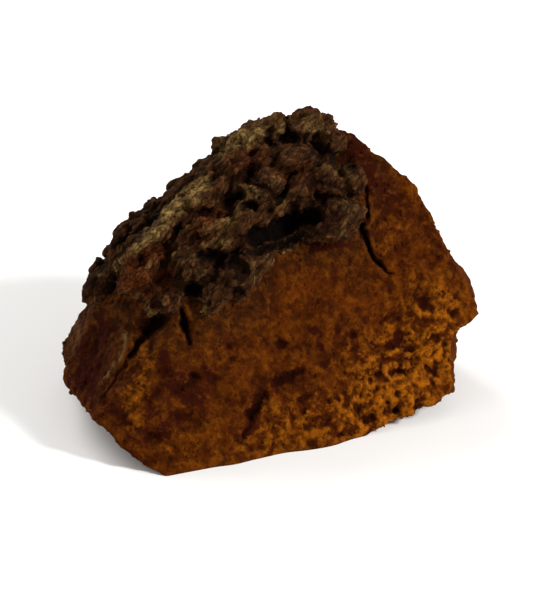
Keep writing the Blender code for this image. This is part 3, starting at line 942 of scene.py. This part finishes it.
# marks of the front view: the ends of a line as across and up, then radius and strength
crustMarks = {
    "rust": (
        (-16.4, 21.8, -15, 22.6, 1.2, 1), (-15.8, 20.6, -15, 22.8, 1, 1),
        (-15.6, 23.9, -12.4, 25.2, 0.9, 0.8), (-14.6, 20.9, -11.6, 22.9, 0.8, 0.8),
        (-8, 27.6, -6.6, 29.2, 1.1, 0.8), (9.6, 37, 11.4, 37.8, 1.2, 1),
        (-3.4, 34.6, -1, 36.2, 1.4, 0.3), (1, 33.8, 4, 34.2, 1, 0.35),
    ),
    # painted highlight along the crests and ridges
    "pale": (
        (-17.2, 23.1, -15.4, 25.4, 0.5, 0.8), (-15.4, 25.4, -12.4, 28.4, 0.6, 0.8),
        (-12.4, 28.4, -11.2, 30, 0.6, 0.9), (-11.2, 30, -8.2, 32.8, 0.9, 1),
        (-5.2, 36, -3.8, 38.4, 0.6, 1), (-3.8, 38.2, -0.6, 39.4, 0.6, 1),
        (-3.4, 37.2, -1.2, 38, 0.8, 0.95), (-15, 18.8, -13.2, 18.6, 0.6, 0.5),
        (-7.6, 27.9, -4.5, 28.9, 0.7, 0.3), (-4.3, 29.2, -3.2, 31.3, 0.5, 0.4),
        (-7.2, 26.2, -5.2, 26.4, 0.8, 0.3), (-2.6, 32.2, -1.4, 31.4, 0.6, 0.4),
        (-2, 23.9, -1.8, 22.6, 0.5, 0.3), (1.2, 38.4, 1.5, 40.2, 0.5, 0.4),
        (4.6, 39.9, 5.8, 38.6, 0.8, 0.4), (-0.4, 38.6, -0.2, 40, 0.5, 0.4), (5, 34.8, 9, 34.2, 0.4, 0.2),
        (7.8, 31.6, 9.2, 30.6, 0.4, 0.25), (9.2, 30.6, 8.3, 28.4, 0.4, 0.25),
        (0.6, 30.8, 1.8, 31, 0.6, 0.3), (-13.7, 30.1, -14.1, 28.9, 0.4, 0.4),
        (-19.6, 22.9, -19.2, 22.8, 0.5, 0.4),
    ),
    # painted shade: crevices, the shaded left edge, gaps, the ground between lumps, creases and the lobe
    "deep": (
        *crust["crevices"], (-1, 25.8, 1.6, 26.8, 0.8, 0.9), (1.6, 26.8, 4.6, 28, 0.8, 0.8),
        # the shaded edge at the left
        (-20.8, 21.6, -18.9, 24.6, 0.7, 0.7), (-18.9, 24.6, -17.4, 27.2, 0.7, 0.7),
        (-17.4, 27.2, -15.2, 28.7, 0.6, 0.7), (-15.2, 28.7, -13.7, 30.8, 0.5, 0.7),
        (-13.7, 30.8, -11.2, 31.8, 0.6, 0.7), (-11.2, 31.8, -7.8, 34.9, 0.6, 0.6),
        # the gap that runs beside the long ridge
        (-17.4, 25.8, -15.1, 26.9, 0.5, 0.9), (-15.1, 26.9, -12.4, 30.5, 0.5, 0.9),
        (-15.7, 23.9, -14.1, 24.9, 0.45, 0.6), (-14.4, 21, -11.6, 23, 0.4, 0.7),
        (-17.8, 19.6, -15.3, 19.3, 0.5, 0.9), (-9.1, 21, -8.4, 19.2, 0.8, 1),
        # the dark ground that the lower lumps stand on
        (-7.8, 25.2, -5.1, 24.4, 0.7, 0.9), (-5.1, 24.4, -2.6, 25.4, 0.8, 0.9),
        (-4.4, 24.4, -3.2, 22.4, 0.6, 0.9), (-3.2, 22.4, -3.5, 20.4, 0.6, 0.8),
        (-7, 22.9, -4.8, 22.6, 0.4, 0.8), (-7.6, 19.9, -5.6, 20.2, 0.4, 0.6),
        # the creases of the top and of the lobe at the right, and painted shade over the whole lobe
        (-4, 33.3, -2, 34.2, 0.3, 0.8), (-2, 34.2, 0.5, 32.9, 0.3, 0.8),
        (0.5, 32.5, 3.5, 31.2, 0.4, 0.8), (0.25, 39.5, 0.75, 35.5, 0.35, 0.8),
        (2.5, 39.5, 3.4, 37.5, 0.3, 0.7), (3.4, 37.5, 2.8, 35.7, 0.3, 0.7),
        (4.5, 35.8, 6.6, 36.4, 0.6, 0.9), (6.6, 36.4, 9.3, 36.3, 0.6, 0.9),
        (5, 33.1, 8.6, 32.9, 0.3, 0.8), (5.6, 31.9, 7.4, 31.2, 0.3, 0.6),
        (6.4, 30.4, 7.9, 29.9, 0.3, 0.7), (7.9, 29.9, 7.4, 28.4, 0.3, 0.7),
        (10.1, 32, 10.8, 29.4, 0.45, 0.8), (5.5, 29, 9, 31, 2.4, 0.34),
        # the darker lumps at the lower edge
        (-10.6, 23.6, -4.6, 22.2, 2.2, 0.42), (-6.4, 21.6, -4.6, 20.6, 1.2, 0.3),
    ),
}
fleshMarks = {
    # red-brown mottles and stains, and in places painted shade
    "rust": (
        # the facet at the left: its own wine-red, made darker still as painted shade
        (-19.4, 17.6, -20.4, 14.8, 1.3, 0.75), (-21, 14, -20, 11.2, 1.4, 1),
        (-21.9, 15, -20.8, 12, 1, 0.8), (-21.4, 11.6, -19.6, 9, 1.1, 0.9),
        (-19.4, 9.4, -18.4, 5.7, 1.5, 0.9), (-22.6, 12.6, -22.4, 10.4, 0.8, 0.6),
        (-18.4, 5.7, -15.4, 1.6, 1.2, 1), (-12.2, 14.5, -10.6, 10.3, 0.8, 0.8),
        (-10.4, 10.6, -7.9, 8.5, 1.2, 1), (-12.6, 7.6, -11.4, 5.6, 0.9, 0.8),
        (-11, 8, -6.6, 11.4, 1.8, 0.35), (-7.2, 12.2, -6.4, 11.4, 0.6, 0.8),
        (0.6, 10.2, 3.4, 12.2, 0.6, 0.9), (-3.6, 4.6, -1.4, 8.8, 0.6, 0.9),
        (5.2, 16.9, 5.9, 14.8, 0.5, 0.8), (11.4, 15, 13.4, 13.5, 0.7, 0.8),
        (14.6, 16.3, 15.9, 13.4, 0.7, 0.8), (9.4, 14.2, 9.8, 13.8, 0.6, 0.7),
        # the first, along the crust's right edge, is painted shade
        (9.5, 37.5, 12.4, 33, 1.5, 0.8), (12.4, 33, 16.8, 28, 2.2, 0.4),
        (17.5, 29, 20.5, 23.5, 1.4, 0.3), (-17.6, 8, -14.6, 3, 1.6, 0.5), (-13.6, 4.4, -9, 7, 1, 0.4),
        # painted shade just under the crust's edge and beside its lobe
        (4.5, 26.3, 8.6, 26.5, 0.5, 0.8), (9.6, 28.8, 10.9, 29.6, 0.7, 0.8),
    ),
    # painted highlight: a thin light streak on the broken edge beside the left crack, and a fainter one at
    # the left edge
    "pale": (
        (-16.8, 16, -17.3, 13.4, 0.2, 0.7), (-17.3, 13.4, -18.6, 11.2, 0.17, 0.6),
        (-22, 17.4, -22.6, 15.4, 0.6, 0.3),
    ),
    "coarse": (
        (12, 8, 20, 16, 7, 1.2), (0, 5, 10, 8, 4.5, 0.8), (-10, 3, -2, 4.4, 3, 0.5),
        (-15.3, 7, -14.4, 14, 2, 0.7), (14, 27, 16, 31, 4, 0.4),
    ),
    "coarseLeast": 0.25,
    # where ochre grains lie close
    "ochre": (
        (12, 9.4, 19, 12, 3.4, 0.9), (17, 21.5, 21.5, 17.5, 2.6, 0.5), (0, 4, 11, 6.4, 2.6, 0.35),
        (-15.2, 13.6, -14.6, 5.4, 1.4, 0.35), (-8, 3.6, -1, 4.2, 1.6, 0.1),
    ),
    # how dark the rust round each pit is: painted shade in the pits
    "pitShade": 0.7,
    # next to the crust it is darker brown: how many degrees wide, and how much
    "nearCrustWidth": 42,
    "nearCrustShare": 0.9,
}


def addRelief(obj, tree, values, heightRadius):
    outward = outwardDirections(obj.data, outwardRadius)
    attribute = obj.data.attributes.new("outward", "FLOAT_VECTOR", "POINT")
    attribute.data.foreach_set("vector", outward.astype(np.float32).ravel())
    useTree(obj, tree, values)
    obj.data.attributes.remove(obj.data.attributes["outward"])
    writeShare(obj.data, "height", standHeights(obj.data, heightRadius))


def finishPiece(obj):
    obj.data.shade_smooth()
    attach(obj, "root")
    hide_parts("chaga_chunk")
    print(obj.name, "finished:", sum(len(face.vertices) - 2 for face in obj.data.polygons), "triangles")


def buildCrust(blocks, beans, tree):
    obj = skinned("crust", joined(*blocks, beans), crust["voxel"])
    points = readPoints(obj.data)
    inside = smoothStep(*crust["setIn"], crustReach(points))
    beanTree = BVHTree.FromBMesh(beans)
    gap = np.array([beanTree.find_nearest(point)[3] for point in points]) / mm
    share = np.maximum(inside, 1 - smoothStep(*crust["beanGap"], gap))
    print("crust skinned:", len(points), "vertices")
    ragged = points + warp(points, crackJag)
    # the marks: rust, painted highlight and painted shade
    for name, lines in crustMarks.items():
        markAlong(obj.data, ragged, tree, name, lines)
    deep = lineShares(points, laidLines(tree, crust["crevices"]), softEdge)
    folded = lineShares(ragged, crustFolds(tree), roundTop) * (1 - np.clip(deep, 0, 1))
    print("crust folded")
    weather(obj.data, tree)
    radius = crust["heightRadius"]
    heights = np.clip(standHeights(obj.data, radius), *crust["sharpenLimits"])
    lift = (heights * crust["sharpen"] + folded) * share * mm
    writePoints(obj.data, readPoints(obj.data) + lift[:, None] * outwardDirections(obj.data, radius))
    writePoints(obj.data, smoothed(obj.data, readPoints(obj.data), crust["smoothing"]))
    cutOut(obj, share > crust["keptShare"])
    addRelief(obj, crustRelief(weatheredCrust()), crust["relief"], radius)
    finishPiece(obj)


def buildFlesh(blocks, tree):
    obj = skinned("flesh", joined(*blocks), flesh["voxel"])
    points = readPoints(obj.data)
    share = smoothStep(*flesh["sinkIn"], crustReach(points))
    print("flesh skinned:", len(points), "vertices")
    ragged = points + warp(points, crackJag)
    pits = [(across, up, across, up, *cut) for across, up, *cut in flesh["pits"]]
    markAlong(obj.data, ragged, tree, "pit", pits)
    # rust round each pit: painted shade in it
    pitShades = [(*pit[:5], fleshMarks["pitShade"]) for pit in pits]
    markAlong(obj.data, ragged, tree, "rust", fleshMarks["rust"] + tuple(pitShades))
    for name in ("pale", "ochre"):
        markAlong(obj.data, ragged, tree, name, fleshMarks[name])
    markAlong(obj.data, points, tree, "coarse", fleshMarks["coarse"], fleshMarks["coarseLeast"])
    # painted shade along the cracks
    markAlong(obj.data, ragged, tree, "deep", flesh["cracks"])
    weather(obj.data, tree)
    points = readPoints(obj.data)
    inward = np.array(block["heart"]) - points
    writePoints(obj.data, points + inward * (share * flesh["sink"])[:, None])
    cutAtFloor(obj)
    cutOut(obj, crustReach(readPoints(obj.data)) < flesh["end"])
    # darker brown towards the crust
    smoky = smoothStep(-fleshMarks["nearCrustWidth"], 0, crustReach(readPoints(obj.data)))
    writeShare(obj.data, "smoky", smoky * fleshMarks["nearCrustShare"])
    finish = brokenFlesh()
    addRelief(obj, fleshRelief(finish), flesh["relief"], flesh["heightRadius"])
    finishPiece(obj)
    loose = addObject("grains", obj.data.copy())
    useTree(loose, grainScatter(finish), grains["scatter"])
    finishPiece(loose)


def buildChunk():
    noise.seed_set(block["seed"])
    whole = hewnBlock(block["sides"])
    blocks = [whole] + [hewnBlock({**block["sides"], **moved}) for moved in block["steps"]]
    beans = crustBeans(BVHTree.FromBMesh(whole))
    tree = BVHTree.FromBMesh(joined(*blocks, beans))
    buildCrust(blocks, beans, tree)
    buildFlesh(blocks, tree)


# Soft studio light on a pale floor: the lens and the height aimed at in mm, the rest in metres and
# watts.
studio = {
    "floor": "#f3f1ee", "floorRoughness": 0.7, "floorSize": 3, "lens": 360, "distance": 0.61, "aimUp": 20,
    "key": {"at": (0.62, -0.27, 0.48), "size": 0.16, "power": 8},
    "fill": {"at": (-0.5, -0.4, 0.35), "size": 0.6, "power": 0.8},
    "back": {"at": (-0.4, 0.45, 0.5), "size": 0.5, "power": 5},
    "sky": 0.4,
}


def addLamp(name, at, size, power):
    lamp = addObject(name, bpy.data.lights.new(name, "AREA"))
    lamp.data.size = size
    lamp.data.energy = power
    lamp.location = at
    lamp.rotation_euler = Vector(at).to_track_quat("Z", "Y").to_euler()


def buildStudio():
    made = bmesh.new()
    bmesh.ops.create_grid(made, x_segments=1, y_segments=1, size=studio["floorSize"])
    floor = meshObject("floor", made)
    material = bpy.data.materials.new("paleFloor")
    material.use_nodes = True
    shader = material.node_tree.nodes["Principled BSDF"]
    shader.inputs["Base Color"].default_value = toLinear(studio["floor"])
    shader.inputs["Roughness"].default_value = studio["floorRoughness"]
    floor.data.materials.append(material)
    for name in ("key", "fill", "back"):
        addLamp(name + "Light", **studio[name])
    world = bpy.data.worlds.new("softLight")
    bpy.context.scene.world = world
    world.use_nodes = True
    sky = world.node_tree.nodes["Background"].inputs
    sky["Strength"].default_value = studio["sky"]
    sky["Color"].default_value = (1, 1, 1, 1)
    bpy.context.scene.view_settings.view_transform = "Standard"

    camera = addObject("camera", bpy.data.cameras.new("camera"))
    bpy.context.scene.camera = camera
    _, up, eye = sightFrame()
    camera.data.sensor_fit = "HORIZONTAL"
    camera.data.lens = studio["lens"]
    camera.data.clip_start = 0.01
    camera.location = sight["zero"] + up * studio["aimUp"] * mm + eye * studio["distance"]
    camera.rotation_euler = eye.to_track_quat("Z", "Y").to_euler()
    print("studio ready")


buildStudio()
buildChunk()
